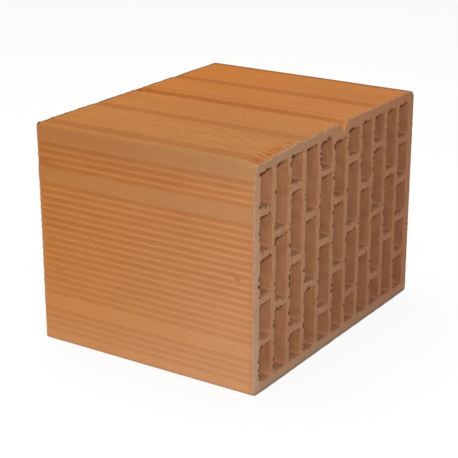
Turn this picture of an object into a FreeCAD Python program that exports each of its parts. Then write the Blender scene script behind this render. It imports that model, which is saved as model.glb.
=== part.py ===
"""Hollow clay block: one extruded and fired piece, pierced by staggered rows of through cores.

Millimetres, +Z up. X runs along the cores, Y across their columns. The origin is the centre of the
underside. The near side is -Y and the far side is +Y.
"""
import FreeCAD, Part
import math
import os

# Overall size of the block as it lies on its long side
LENGTH = 235.0
WIDTH = 300.0
HEIGHT = 215.0

# Outer walls around the field of cores
NEAR_WALL = 9.5
FAR_WALL = 11.5
TOP_WALL = 11.0
BOTTOM_WALL = 11.0

# Columns of cores and the webs between them
COLUMN_COUNT = 11
LONG_WEB = 6.2
CROSS_WEB = 7.5
CORE_RADIUS = 2.2

# Cores stacked in the two outermost columns and in each column of long cores
EDGE_CORE_COUNT = 5
LONG_CORE_COUNT = 3

# Rounded long edges, where the soft clay left the die
NEAR_TOP_RADIUS = 4.0
FAR_TOP_RADIUS = 9.0
NEAR_BOTTOM_RADIUS = 4.0
FAR_BOTTOM_RADIUS = 3.0

# V groove along the top, past the middle of the width
NOTCH_WIDTH = 16.5
NOTCH_DEPTH = 8.5
NOTCH_ROOT_RADIUS = 3.0
NOTCH_OFFSET = 4.5
NOTCH_ROOF = 8.5

# Smooth bands, sunk between the rough strips of the top
BAND_DEPTH = 0.5
BAND_FLANK = 1.0
BAND_WIDTH = 14.0
BAND_SPREAD = 67.0
EDGE_BAND_WIDTH = 15.0
EDGE_RIDGE = 2.0
TRACE_WIDTH = 4.5
TRACE_OFFSET = 15.0

# Plaster grooves along both sides, in a tall group between two short ones
GROOVE_WIDTH = 3.8
GROOVE_DEPTH = 1.1
GROOVE_PITCH = 6.6
GROOVE_GROUP_GAP = 18.6
EDGE_GROUP_GROOVES = 4
TOP_SMOOTH = 20.0
BOTTOM_SMOOTH = 12.5

# Where the block's faces lie
NEAR_Y = -WIDTH / 2
FAR_Y = WIDTH / 2
BACK_X = -LENGTH / 2

# Cosine of 45 degrees, for the middle of a quarter arc
DIAGONAL = math.sqrt(0.5)

# Part of a pitch that still counts as room for one more groove
PITCH_TOLERANCE = 0.05


class Outline:
    """A closed line of straight and curved edges in the YZ plane, at the block's back end."""

    def __init__(self, y, z):
        """Start the outline at a point."""
        self.start = self._point(y, z)
        self.last = self.start
        self.edges = []

    @staticmethod
    def _point(y, z):
        """Return a point of the section at the back end."""
        return FreeCAD.Vector(BACK_X, y, z)

    def line_to(self, y, z):
        """Add a straight edge."""
        end = self._point(y, z)
        self.edges.append(Part.LineSegment(self.last, end).toShape())
        self.last = end

    def arc_to(self, middle, end):
        """Add an arc through a middle point to an end point, both as (y, z)."""
        through = self._point(*middle)
        finish = self._point(*end)
        self.edges.append(Part.Arc(self.last, through, finish).toShape())
        self.last = finish

    def corner_to(self, centre, radius, out_y, out_z, end):
        """Add a quarter arc that bulges from its centre towards (out_y, out_z)."""
        reach = radius * DIAGONAL
        middle = (centre[0] + out_y * reach, centre[1] + out_z * reach)
        self.arc_to(middle, end)

    def wire(self):
        """Close the outline and return it as a wire."""
        if self.last.distanceToPoint(self.start) > 0:
            self.edges.append(Part.LineSegment(self.last, self.start).toShape())
        return Part.Wire(self.edges)


def core_wire(y_low, y_high, z_low, z_high):
    """Return the rounded rectangle of one core."""
    radius = CORE_RADIUS
    left, right = y_low + radius, y_high - radius
    floor, ceiling = z_low + radius, z_high - radius
    path = Outline(left, z_low)
    path.line_to(right, z_low)
    path.corner_to((right, floor), radius, 1, -1, (y_high, floor))
    path.line_to(y_high, ceiling)
    path.corner_to((right, ceiling), radius, 1, 1, (right, z_high))
    path.line_to(left, z_high)
    path.corner_to((left, ceiling), radius, -1, 1, (y_low, ceiling))
    path.line_to(y_low, floor)
    path.corner_to((left, floor), radius, -1, -1, (left, z_low))
    return path.wire()


def core_heights(column):
    """Return the core heights of a column, from the underside to the top.

    The outermost columns have short equal cores. Between them, columns of long equal cores take turns
    with columns that start and end on a short core, so that no cross web meets the next one.
    """
    clear = HEIGHT - TOP_WALL - BOTTOM_WALL
    long_core = (clear - (LONG_CORE_COUNT - 1) * CROSS_WEB) / LONG_CORE_COUNT
    if column in (0, COLUMN_COUNT - 1):
        edge_core = (clear - (EDGE_CORE_COUNT - 1) * CROSS_WEB) / EDGE_CORE_COUNT
        return [edge_core] * EDGE_CORE_COUNT
    if column % 2 == 1:
        return [long_core] * LONG_CORE_COUNT
    end_core = (long_core - CROSS_WEB) / 2
    return [end_core] + [long_core] * (LONG_CORE_COUNT - 1) + [end_core]


def notch_depth_over(y_low, y_high):
    """Return how deep the V groove reaches, at its deepest, above a stretch of the width."""
    nearest = max(y_low - NOTCH_OFFSET, NOTCH_OFFSET - y_high, 0.0)
    return NOTCH_DEPTH * max(0.0, 1 - nearest / (NOTCH_WIDTH / 2))


def core_wires():
    """Return the wires of all cores, column by column from the near side."""
    field = WIDTH - NEAR_WALL - FAR_WALL
    core_width = (field - (COLUMN_COUNT - 1) * LONG_WEB) / COLUMN_COUNT
    wires = []
    for column in range(COLUMN_COUNT):
        y_low = NEAR_Y + NEAR_WALL + column * (core_width + LONG_WEB)
        y_high = y_low + core_width
        notch = notch_depth_over(y_low, y_high)
        ceiling = HEIGHT - TOP_WALL
        if notch > 0:
            ceiling = min(ceiling, HEIGHT - notch - NOTCH_ROOF)
        z_low = BOTTOM_WALL
        for height in core_heights(column):
            z_high = min(z_low + height, ceiling)
            wires.append(core_wire(y_low, y_high, z_low, z_high))
            z_low += height + CROSS_WEB
    return wires


def groove_centres():
    """Return the heights of the plaster grooves, from the underside up."""
    group = (EDGE_GROUP_GROOVES - 1) * GROOVE_PITCH
    lower = [BOTTOM_SMOOTH + i * GROOVE_PITCH for i in range(EDGE_GROUP_GROOVES)]
    upper_start = HEIGHT - TOP_SMOOTH - group
    upper = [upper_start + i * GROOVE_PITCH for i in range(EDGE_GROUP_GROOVES)]
    middle_low = lower[-1] + GROOVE_GROUP_GAP
    room = upper[0] - GROOVE_GROUP_GAP - middle_low
    steps = math.floor(room / GROOVE_PITCH + PITCH_TOLERANCE)
    middle_low += (room - steps * GROOVE_PITCH) / 2
    middle = [middle_low + i * GROOVE_PITCH for i in range(steps + 1)]
    return lower + middle + upper


def draw_grooved_side(path, face_y, inward, centres, end_z):
    """Run along one side, dipping into a round groove at each centre."""
    half = GROOVE_WIDTH / 2
    way = 1 if end_z > path.last.z else -1
    for z in centres:
        path.line_to(face_y, z - way * half)
        path.arc_to((face_y + inward * GROOVE_DEPTH, z), (face_y, z + way * half))
    path.line_to(face_y, end_z)


def draw_band(path, y_low, y_high):
    """Sink one smooth band into the top, with sloping flanks."""
    floor = HEIGHT - BAND_DEPTH
    path.line_to(y_low, HEIGHT)
    path.line_to(y_low + BAND_FLANK, floor)
    path.line_to(y_high - BAND_FLANK, floor)
    path.line_to(y_high, HEIGHT)


def draw_notch(path):
    """Cut the V groove, whose straight flanks run into a round root."""
    half = NOTCH_WIDTH / 2
    radius = NOTCH_ROOT_RADIUS
    drop = NOTCH_DEPTH - radius
    mouth = math.hypot(half, drop)
    angle = math.atan2(drop, half) - math.acos(radius / mouth)
    root_y = radius * math.cos(angle)
    root_z = HEIGHT - drop + radius * math.sin(angle)
    path.line_to(NOTCH_OFFSET - half, HEIGHT)
    path.line_to(NOTCH_OFFSET - root_y, root_z)
    path.arc_to((NOTCH_OFFSET, HEIGHT - NOTCH_DEPTH), (NOTCH_OFFSET + root_y, root_z))
    path.line_to(NOTCH_OFFSET + half, HEIGHT)


def draw_top(path):
    """Run along the top from the near side to the far side, over its bands and its V groove."""
    ridge = NEAR_Y + NEAR_TOP_RADIUS + EDGE_RIDGE
    draw_band(path, ridge, ridge + EDGE_BAND_WIDTH)
    near_band = NOTCH_OFFSET - BAND_SPREAD
    draw_band(path, near_band - BAND_WIDTH / 2, near_band + BAND_WIDTH / 2)
    draw_notch(path)
    trace = NOTCH_OFFSET + TRACE_OFFSET
    draw_band(path, trace - TRACE_WIDTH / 2, trace + TRACE_WIDTH / 2)
    far_band = NOTCH_OFFSET + BAND_SPREAD
    draw_band(path, far_band - BAND_WIDTH / 2, far_band + BAND_WIDTH / 2)
    path.line_to(FAR_Y - FAR_TOP_RADIUS, HEIGHT)


def outer_wire():
    """Return the outside of the section, drawn up the near side and back under the block."""
    centres = groove_centres()
    path = Outline(NEAR_Y, NEAR_BOTTOM_RADIUS)

    near_top_y = NEAR_Y + NEAR_TOP_RADIUS
    near_top_z = HEIGHT - NEAR_TOP_RADIUS
    draw_grooved_side(path, NEAR_Y, 1, centres, near_top_z)
    path.corner_to((near_top_y, near_top_z), NEAR_TOP_RADIUS, -1, 1, (near_top_y, HEIGHT))

    draw_top(path)

    far_top_y = FAR_Y - FAR_TOP_RADIUS
    far_top_z = HEIGHT - FAR_TOP_RADIUS
    path.corner_to((far_top_y, far_top_z), FAR_TOP_RADIUS, 1, 1, (FAR_Y, far_top_z))
    draw_grooved_side(path, FAR_Y, -1, reversed(centres), FAR_BOTTOM_RADIUS)

    far_low_y = FAR_Y - FAR_BOTTOM_RADIUS
    path.corner_to((far_low_y, FAR_BOTTOM_RADIUS), FAR_BOTTOM_RADIUS, 1, -1, (far_low_y, 0))

    near_low_y = NEAR_Y + NEAR_BOTTOM_RADIUS
    path.line_to(near_low_y, 0)
    path.corner_to((near_low_y, NEAR_BOTTOM_RADIUS), NEAR_BOTTOM_RADIUS, -1, -1, (NEAR_Y, NEAR_BOTTOM_RADIUS))
    return path.wire()


def clay_block():
    """Return the fired block: the pierced section, drawn out along the cores."""
    section = Part.makeFace([outer_wire()] + core_wires(), "Part::FaceMakerBullseye")
    return section.extrude(FreeCAD.Vector(LENGTH, 0, 0))


os.makedirs("parts", exist_ok=True)
block = clay_block()
block.exportStep("parts/clay_block.step")
print("clay_block", block.ShapeType, block.isValid(), "volume mm3", round(block.Volume))
print("box", block.BoundBox)
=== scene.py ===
"""Hollow clay block in a plain studio: one fired body with grooved sides, a combed and notched top,
staggered through cores and two ragged wire-cut ends.

Lengths are in millimetres until a mesh is made, and in metres from there on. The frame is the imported
part's: X along the cores, Y across their columns, Z up, with the origin at the centre of the underside.
The near side is -Y, the far side +Y, the front end +X and the back end -X.
"""
import logging
import math
from collections.abc import Iterable
from dataclasses import dataclass, field
from enum import IntEnum
from typing import Any, ClassVar

import bpy
import numpy as np
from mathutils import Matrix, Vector
from mathutils.geometry import delaunay_2d_cdt


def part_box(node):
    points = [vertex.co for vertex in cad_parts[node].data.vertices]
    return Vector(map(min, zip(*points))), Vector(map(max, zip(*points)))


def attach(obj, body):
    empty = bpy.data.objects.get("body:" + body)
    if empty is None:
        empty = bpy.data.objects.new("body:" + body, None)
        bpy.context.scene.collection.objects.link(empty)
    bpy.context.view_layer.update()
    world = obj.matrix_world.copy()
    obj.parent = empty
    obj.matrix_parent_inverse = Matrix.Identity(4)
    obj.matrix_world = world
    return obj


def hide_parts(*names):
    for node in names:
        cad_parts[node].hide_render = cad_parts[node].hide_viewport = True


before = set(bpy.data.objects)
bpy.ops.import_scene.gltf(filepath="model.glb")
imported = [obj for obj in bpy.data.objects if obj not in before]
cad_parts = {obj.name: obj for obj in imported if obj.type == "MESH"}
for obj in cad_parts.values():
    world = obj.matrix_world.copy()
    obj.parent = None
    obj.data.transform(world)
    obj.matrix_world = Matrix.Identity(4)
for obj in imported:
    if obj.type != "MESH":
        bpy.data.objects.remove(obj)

LOG = logging.getLogger("clay_block")
NODE = "clay_block"
BODY = "root"
MM = 0.001

# The seeds of the skin's noise, of the wire cut's and of the points scattered over the ends
SKIN_SEED = 11
CUT_SEED = 23
SCATTER_SEED = 5

# Degrees by which the cutting wire dragged the clay out of level, and above which an edge is sharp
DRAG_ANGLE = 24.0
SHARP_ANGLE = 48.0

Places = np.ndarray | float
Colour = tuple[float, float, float]
WHITE: Colour = (1.0, 1.0, 1.0)


def ease(value: np.ndarray) -> np.ndarray:
    """Return the smooth step 3v² - 2v³ of a value that is first held between 0 and 1."""
    held = np.clip(value, 0.0, 1.0)
    return held * held * (3.0 - 2.0 * held)


def step(value: np.ndarray, limits: tuple[float, float]) -> np.ndarray:
    """Return a smooth step from 0 at the first limit to 1 at the second, whichever of them is greater."""
    return ease((value - limits[0]) / (limits[1] - limits[0]))


def rise(start: float, share: np.ndarray) -> np.ndarray:
    """Return a smooth step from start to 1 while a share runs from 0 to 1."""
    return start + (1.0 - start) * ease(share)


def bell(offset: np.ndarray, reach: float) -> np.ndarray:
    """Return a bell curve: e to the power of minus the square of the offset over its reach."""
    return np.exp(-((offset / reach) ** 2))


def paint(red: int, green: int, blue: int) -> Colour:
    """Return a display colour as linear light.

    A channel c becomes ((c + 0.055) / 1.055) to the power 2.4, or c / 12.92 where it is very dark.

    Args:
        red: The red channel, from 0 to 255.
        green: The green channel.
        blue: The blue channel.

    Returns:
        The three channels as light of 0 to 1.
    """
    display = np.array([red, green, blue]) / 255.0
    light = np.where(display > 0.04045, ((display + 0.055) / 1.055) ** 2.4, display / 12.92)
    return tuple(light.tolist())


def add_object(name: str, data: bpy.types.ID) -> bpy.types.Object:
    """Make an object of a mesh, a lamp or a camera, and link it to the scene.

    Args:
        name: The object's name.
        data: What it shows.

    Returns:
        The object.
    """
    made = bpy.data.objects.new(name, data)
    bpy.context.scene.collection.objects.link(made)
    return made


@dataclass(frozen=True)
class Ripple:
    """A seeded unevenness: smooth noise in layers, each half as large and half as strong as the one before.

    It swings by about its strength, in millimetres or as a share. Its largest cells are first by second by
    third millimetres. The shift and the plane move it by cells along the second and the third direction.
    """

    seed: int
    strength: float
    first: float
    second: float
    third: float = 1.0
    shift: float = 0.0
    plane: float = 0.0
    layers: int = 1
    LAYER_SHIFT: ClassVar[float] = 17.3
    SEED_KEY: ClassVar[int] = 7919
    AXIS_KEYS: ClassVar[tuple[int, int, int]] = (73856093, 19349663, 83492791)
    MIXING_KEY: ClassVar[int] = 1274126177
    MIXING_BITS: ClassVar[tuple[int, int]] = (13, 16)
    TOP_LEVEL: ClassVar[int] = 0xFFFF

    def _lattice(self, x: Places, y: Places, z: Places) -> np.ndarray:
        """Blend the eight values at the corners of each point's lattice cell by smooth steps.

        Each value is made from the seed and the corner's whole numbers, whose bits are mixed.

        Args:
            x: First coordinates, in lattice cells.
            y: Second coordinates.
            z: Third coordinates.

        Returns:
            One value between -1 and 1 for each point, in the broadcast shape of the three.
        """
        axes = np.broadcast_arrays(x, y, z)
        cells = [np.floor(axis).astype(np.int64) for axis in axes]
        blends = [ease(axis - cell) for axis, cell in zip(axes, cells)]
        total = 0.0
        for corner in range(8):
            weight, key = 1.0, self.seed * self.SEED_KEY
            for axis, axis_key in enumerate(self.AXIS_KEYS):
                ahead = corner >> axis & 1
                weight = weight * (blends[axis] if ahead else 1.0 - blends[axis])
                key = key ^ (cells[axis] + ahead) * axis_key
            mixed = (key ^ (key >> self.MIXING_BITS[0])) * self.MIXING_KEY
            level = (mixed ^ (mixed >> self.MIXING_BITS[1])) & self.TOP_LEVEL
            total = total + weight * (level / (self.TOP_LEVEL / 2) - 1.0)
        return total

    def over(self, x: Places, y: Places, z: Places = 0.0) -> np.ndarray:
        """Add up the layers and scale their sum back to about minus and plus the strength.

        Args:
            x: Places along the first direction.
            y: Places along the second direction.
            z: Places along the third direction.

        Returns:
            The unevenness at each place.
        """
        x, y, z = x / self.first, y / self.second + self.shift, z / self.third + self.plane
        total = 0.0
        for layer in range(self.layers):
            fine = 2**layer
            total = total + self._lattice(x * fine, y * fine, z * fine + self.LAYER_SHIFT * layer) / fine
        return self.strength * (total / (2.0 - 0.5 ** (self.layers - 1)))

    def raised(self, x: Places, y: Places, z: Places = 0.0) -> np.ndarray:
        """Return the unevenness raised by its strength, so that it hardly falls below zero."""
        return self.strength + self.over(x, y, z)


class Side(IntEnum):
    """The faces that the outline of the section runs along."""

    NEAR = 0
    TOP = 1
    FAR = 2
    UNDER = 3
    CORNER = 4


@dataclass(frozen=True)
class Section:
    """Sizes of the extruded section in millimetres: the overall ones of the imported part, and the die's."""

    length: float
    width: float
    height: float
    near_wall: float = 9.5
    far_wall: float = 11.5
    top_wall: float = 11.0
    bottom_wall: float = 11.0
    column_count: int = 11
    long_web: float = 6.2
    cross_web: float = 7.5
    core_radius: float = 2.2
    edge_core_count: int = 5
    long_core_count: int = 3
    near_top_radius: float = 4.0
    far_top_radius: float = 9.0
    near_bottom_radius: float = 4.0
    far_bottom_radius: float = 3.0
    notch_width: float = 16.5
    notch_depth: float = 8.5
    notch_root: float = 3.0
    notch_offset: float = 4.5
    notch_roof: float = 8.5
    band_depth: float = 0.5
    band_flank: float = 1.6
    band_width: float = 14.0
    band_spread: float = 67.0
    edge_band_width: float = 15.0
    edge_ridge: float = 2.0
    trace_width: float = 4.5
    trace_offset: float = 15.0
    groove_width: float = 5.3
    groove_depth: float = 1.0
    groove_pitch: float = 6.6
    groove_group_gap: float = 18.6
    edge_group_grooves: int = 4
    pitch_tolerance: float = 0.05
    top_smooth: float = 20.0
    bottom_smooth: float = 12.5

    @classmethod
    def of_node(cls, node: str) -> "Section":
        """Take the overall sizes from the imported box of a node.

        Args:
            node: The node's name.

        Returns:
            The section at the size of that box.
        """
        low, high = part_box(node)
        length, width, height = ((b - a) / MM for a, b in zip(low, high))
        return cls(length=length, width=width, height=height)

    @property
    def near_y(self) -> float:
        """Where the near side stands."""
        return -self.width / 2

    @property
    def far_y(self) -> float:
        """Where the far side stands."""
        return self.width / 2

    def groove_centres(self) -> np.ndarray:
        """Space the plaster grooves evenly in a tall group between two short ones.

        Returns:
            The height of each groove.
        """
        group = np.arange(self.edge_group_grooves) * self.groove_pitch
        lower = self.bottom_smooth + group
        upper = self.height - self.top_smooth - group[::-1]
        low, high = lower[-1] + self.groove_group_gap, upper[0] - self.groove_group_gap
        steps = math.floor((high - low) / self.groove_pitch + self.pitch_tolerance)
        middle = (low + high) / 2 + (np.arange(steps + 1) - steps / 2) * self.groove_pitch
        return np.concatenate([lower, middle, upper])

    def bands(self) -> list[tuple[float, float]]:
        """Place the smooth bands of the top.

        Returns:
            The near and the far limit of each band.
        """
        ridge = self.near_y + self.near_top_radius + self.edge_ridge
        half, trace = self.band_width / 2, self.notch_offset + self.trace_offset
        near, far = self.notch_offset - self.band_spread, self.notch_offset + self.band_spread
        return [
            (ridge, ridge + self.edge_band_width),
            (near - half, near + half),
            (trace - self.trace_width / 2, trace + self.trace_width / 2),
            (far - half, far + half),
        ]

    def core_boxes(self) -> list[tuple[float, float, float, float]]:
        """Place every core, column by column from the near side.

        The outermost columns hold short equal cores. Between them, columns of long equal cores take turns
        with columns that start and end on a short core, and the cores under the V groove stop below it.

        Returns:
            The near y, far y, floor z and ceiling z of each core.
        """
        field_width = self.width - self.near_wall - self.far_wall
        core_width = (field_width - (self.column_count - 1) * self.long_web) / self.column_count
        clear = self.height - self.top_wall - self.bottom_wall
        long_core = (clear - (self.long_core_count - 1) * self.cross_web) / self.long_core_count
        edge_core = (clear - (self.edge_core_count - 1) * self.cross_web) / self.edge_core_count
        end_core = (long_core - self.cross_web) / 2
        boxes = []
        for column in range(self.column_count):
            heights = [end_core] + [long_core] * (self.long_core_count - 1) + [end_core]
            if column % 2 == 1:
                heights = [long_core] * self.long_core_count
            if column in (0, self.column_count - 1):
                heights = [edge_core] * self.edge_core_count
            near = self.near_y + self.near_wall + column * (core_width + self.long_web)
            far = near + core_width
            aside = max(near - self.notch_offset, self.notch_offset - far, 0.0)
            notch = self.notch_depth * max(0.0, 1.0 - aside / (self.notch_width / 2))
            ceiling = self.height - max(self.top_wall, notch + self.notch_roof if notch else 0.0)
            floor = self.bottom_wall
            for height in heights:
                boxes.append((near, far, floor, min(floor + height, ceiling)))
                floor += height + self.cross_web
        return boxes


@dataclass
class Line:
    """A closed line of places across the block and up, with the way into the clay at each of them."""

    y: np.ndarray = field(init=False)
    z: np.ndarray = field(init=False)
    into_y: np.ndarray = field(init=False)
    into_z: np.ndarray = field(init=False)

    @staticmethod
    def _straight(y: Places, z: Places, into_y: int, into_z: int) -> np.ndarray:
        """Return rows of y, z and the way into the clay for an upright or a level stretch."""
        return np.column_stack(np.broadcast_arrays(y, z, into_y, into_z))

    @staticmethod
    def _quarter(y: float, z: float, radius: float, start: float, count: int, turn: int) -> np.ndarray:
        """Lay a quarter circle round a centre.

        Args:
            y: The centre's place across the block.
            z: The centre's height.
            radius: The circle's radius.
            start: The angle of its first point, in degrees.
            count: How many points it has.
            turn: 1 to run against the clock, with clay outside, or -1 to run clockwise, with clay inside.

        Returns:
            Rows of y, z and the way into the clay.
        """
        angle = np.radians(start + turn * 90.0 * np.arange(count) / count)
        out_y, out_z = np.cos(angle), np.sin(angle)
        return np.column_stack([y + radius * out_y, z + radius * out_z, turn * out_y, turn * out_z])


@dataclass
class Outline(Line):
    """The smooth envelope of the section, clockwise seen from the front, with the face at each point.

    Spacings and the counts of the top's strips say how dense its points are. The corner counts are those of
    the near top, far top, far bottom and near bottom edges.
    """

    section: Section
    side: np.ndarray = field(init=False)
    near_spacing: float = 0.82
    far_spacing: float = 1.32
    under_spacing: float = 7.0
    near_strip_count: int = 105
    notch_count: int = 21
    far_strip_count: int = 84
    notch_reach: float = 0.6
    corner_counts: tuple[int, int, int, int] = (5, 9, 4, 5)

    def __post_init__(self) -> None:
        """Lay the four faces and the four rounded edges end to end."""
        s = self.section
        near, far, top = s.near_y, s.far_y, s.height
        near_top, far_top = s.near_top_radius, s.far_top_radius
        near_foot, far_foot = s.near_bottom_radius, s.far_bottom_radius
        counts = self.corner_counts
        up = np.arange(near_foot, top - near_top, self.near_spacing)
        down = np.arange(top - far_top, far_foot, -self.far_spacing)
        under = np.arange(far - far_foot, near + near_foot, -self.under_spacing)
        stretches = (
            (Side.NEAR, self._straight(near, up, 1, 0)),
            (Side.CORNER, self._quarter(near + near_top, top - near_top, near_top, 180, counts[0], -1)),
            (Side.TOP, self._straight(self._top_places(), top, 0, -1)),
            (Side.CORNER, self._quarter(far - far_top, top - far_top, far_top, 90, counts[1], -1)),
            (Side.FAR, self._straight(far, down, -1, 0)),
            (Side.CORNER, self._quarter(far - far_foot, far_foot, far_foot, 0, counts[2], -1)),
            (Side.UNDER, self._straight(under, 0.0, 0, 1)),
            (Side.CORNER, self._quarter(near + near_foot, near_foot, near_foot, -90, counts[3], -1)),
        )
        self.y, self.z, self.into_y, self.into_z = np.concatenate([rows for _, rows in stretches]).T
        self.side = np.concatenate([np.full(len(rows), int(side)) for side, rows in stretches])

    def _top_places(self) -> np.ndarray:
        """Space places across the top in three even runs: before, over and beyond the V groove.

        Returns:
            The places.
        """
        s = self.section
        reach = s.notch_width * self.notch_reach
        low, high = s.notch_offset - reach, s.notch_offset + reach
        return np.concatenate([
            np.linspace(s.near_y + s.near_top_radius, low, self.near_strip_count, endpoint=False),
            np.linspace(low, high, self.notch_count, endpoint=False),
            np.linspace(high, s.far_y - s.far_top_radius, self.far_strip_count, endpoint=False),
        ])


@dataclass(frozen=True)
class Mark:
    """A small pit or chip of the near side: its place, its reach both ways and its depth."""

    x: float
    z: float
    reach_x: float
    reach_z: float
    depth: float


@dataclass(frozen=True)
class Scuff:
    """A red scuff of the top: its distances from the near side and the front end, and its reach."""

    from_near: float
    from_front: float
    reach: float


@dataclass(frozen=True)
class SkinRelief:
    """How far the fired skin lies below its smooth envelope, and how much painted shade darkens its hollows.

    Names that end in shade say how much painted shade a form at its full depth gets, and those that end in
    shade_depth how deep a form is where that painted shade is darkest. Lengths and depths are in millimetres.
    """

    section: Section
    waves: Ripple = Ripple(SKIN_SEED, 0.315, 110.0, 90.0, 90.0)
    grain: Ripple = Ripple(SKIN_SEED, 0.12, 5.0, 3.0, 3.0, layers=3)
    under_share: float = 0.3
    groove_sway: Ripple = Ripple(SKIN_SEED, 0.22, 45.0, 9.0)
    groove_swell: Ripple = Ripple(SKIN_SEED, 0.22, 24.0, 5.0, plane=3.5)
    groove_power: int = 3
    groove_foot: float = 0.45
    groove_foot_height: float = 15.0
    groove_foot_rise: float = 115.0
    groove_end: float = 0.4
    groove_end_length: float = 6.0
    groove_shade: float = 0.46
    mark_shade_depth: float = 1.3
    break_land: float = 2.5
    break_length: float = 14.0
    break_rim: Ripple = Ripple(SKIN_SEED, 1.5, 1.5, 1.0, plane=9.0)
    break_flank: float = 1.5
    break_half_height: float = 3.6
    break_lip: float = 0.8
    break_depth: float = 0.7
    speckle: Ripple = Ripple(SKIN_SEED, 0.8, 1.5, 1.8, layers=2)
    scuff_level: float = 1.1
    scuff_stretch: float = 1.6
    scuff_full_reach: float = 2.4
    strip_level: float = 0.35
    comb_pitch: float = 6.5
    comb_power: int = 3
    comb_depth: float = 0.62
    comb_loss: float = 0.5
    comb_fade: tuple[float, float] = (0.25, 0.65)
    comb_back: float = 0.6
    comb_level: float = 0.65
    comb_sway: Ripple = Ripple(SKIN_SEED, 1.3, 70.0, 24.0, plane=2.5)
    comb_breaks: Ripple = Ripple(SKIN_SEED, 0.35, 9.0, 6.5, plane=5.0, layers=2)
    comb_runs: Ripple = Ripple(SKIN_SEED, 0.28, 90.0, 6.5, plane=8.0)
    comb_shade: float = 1.5
    band_shade: float = 0.5
    notch_edge: float = 0.05
    notch_shade: float = 0.5
    notch_shade_depth: float = 2.0
    notch_shade_fade: float = 6.0
    flap_share: float = 0.97
    flap_length: float = 5.5
    flap_slope: float = 3.0
    lip_offset: float = 1.6
    lip_reach: float = 1.3
    lip_rise: float = 14.0
    scuffs: tuple[Scuff, ...] = (
        Scuff(15.0, 6.5, 1.7),
        Scuff(24.0, 8.5, 2.0),
        Scuff(33.0, 6.5, 1.6),
        Scuff(47.0, 8.0, 2.1),
        Scuff(52.0, 5.5, 1.4),
        Scuff(66.0, 7.0, 1.5),
        Scuff(22.0, 7.0, 6.0),
        Scuff(44.0, 8.0, 7.0),
        Scuff(151.0, 230.0, 3.2),
        Scuff(160.0, 226.0, 2.6),
    )
    marks: tuple[Mark, ...] = (
        Mark(100.3, 107.5, 1.5, 1.2, 1.8),
        Mark(9.4, 104.7, 1.2, 1.0, 1.4),
        Mark(-96.7, 74.8, 2.6, 1.2, 1.5),
        Mark(11.5, 55.9, 1.5, 1.2, 1.1),
        Mark(62.0, 160.0, 1.0, 0.9, 0.8),
        Mark(116.4, 115.0, 1.0, 1.5, 1.4),
        Mark(116.6, 77.0, 0.9, 1.6, 1.4),
        Mark(116.2, 129.0, 0.9, 1.1, 1.2),
        Mark(116.4, 196.5, 1.0, 1.8, 1.2),
        Mark(116.0, 205.0, 1.0, 1.4, 0.8),
    )

    def grooves(self, x: np.ndarray, z: np.ndarray) -> np.ndarray:
        """Shape the plaster grooves of a side.

        A groove's depth over its width is 1 - |t|³, with t from -1 to 1, so its floor is nearly flat. Its
        centre sways and its depth swells a little along the block. It is shallower near the underside and
        runs out towards both ends.

        Args:
            x: Places along the block.
            z: Heights.

        Returns:
            The depth at each place.
        """
        s = self.section
        centres = s.groove_centres()
        nearest = centres[np.abs(z[..., None] - centres).argmin(axis=-1)]
        sway = self.groove_sway.over(x, nearest)
        share = (z - nearest - sway) / (s.groove_width / 2)
        swell = 1.0 + self.groove_swell.over(x, nearest)
        foot = rise(self.groove_foot, (z - self.groove_foot_height) / self.groove_foot_rise)
        end = rise(self.groove_end, (s.length / 2 - np.abs(x)) / self.groove_end_length)
        groove = np.clip(1.0 - np.abs(share) ** self.groove_power, 0.0, 1.0)
        return s.groove_depth * swell * foot * end * groove

    def near_marks(self, x: np.ndarray, z: np.ndarray) -> np.ndarray:
        """Shape the damage of the near side.

        Each pit is a bell over both directions. The land between the third and the fourth groove from the
        top is broken off beside the back end, as far as a ragged line.

        Args:
            x: Places along the block.
            z: Heights.

        Returns:
            The depth at each place.
        """
        s = self.section
        depth = np.zeros(x.shape)
        for mark in self.marks:
            pit = mark.depth * bell(x - mark.x, mark.reach_x) * bell(z - mark.z, mark.reach_z)
            depth = np.maximum(depth, pit)
        land = s.height - s.top_smooth - self.break_land * s.groove_pitch
        ragged = self.break_length + self.break_rim.over(z, 0.0)
        along = ease((ragged - x - s.length / 2) / self.break_flank)
        upright = ease((self.break_half_height - np.abs(z - land)) / self.break_lip)
        return np.maximum(depth, self.break_depth * along * upright)

    def scars(self, x: np.ndarray, y: np.ndarray) -> np.ndarray:
        """Tell where the top skin is scuffed red: bells round each scuff, wider than long, and speckled.

        Args:
            x: Places along the block.
            y: Places across it.

        Returns:
            How red each place is, from 0 to 1, or a little more.
        """
        s = self.section
        scuffed = np.zeros(x.shape)
        for scuff in self.scuffs:
            across = (y - s.near_y - scuff.from_near) / self.scuff_stretch
            apart = np.hypot(across, x - s.length / 2 + scuff.from_front)
            strength = min(1.0, self.scuff_full_reach / scuff.reach)
            scuffed = np.maximum(scuffed, bell(apart, scuff.reach) * strength)
        return scuffed * (self.scuff_level + self.speckle.over(x, y))

    def bands(self, y: np.ndarray) -> np.ndarray:
        """Return how far each place of the top is sunk into a smooth band, from 0 to 1."""
        flank = self.section.band_flank
        return sum(ease((y - low) / flank) * ease((high - y) / flank) for low, high in self.section.bands())

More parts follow.
